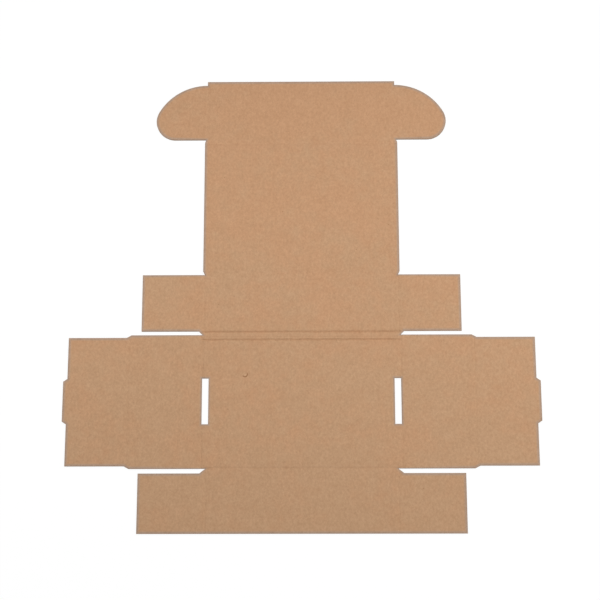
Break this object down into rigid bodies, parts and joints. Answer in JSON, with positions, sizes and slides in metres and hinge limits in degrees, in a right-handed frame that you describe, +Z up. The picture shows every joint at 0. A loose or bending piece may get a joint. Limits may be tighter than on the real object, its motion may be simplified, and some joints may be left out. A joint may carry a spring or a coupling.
{
  "type": "flat corrugated mailer box blank",
  "caption": "Flat die-cut corrugated board mailer box, unfolded: creased panels, rounded tuck ears, dust flaps, roll-over side walls with locking tabs and slots.",
  "frame": {"origin": "middle of the sheet's outline, on its underside", "axes": "+X across the sheet to the right-hand locking tab, +Y from the front wall to the tuck flap, +Z up out of the inside face, where the creases are pressed"},
  "size_m": [0.5682, 0.5546, 0.003],
  "materials": {
    "kraft_board": "matte brown kraft liner on corrugated board"
  },
  "bodies": {
    "root": {"blank": "kraft_board"}
  },
  "joints": []
}
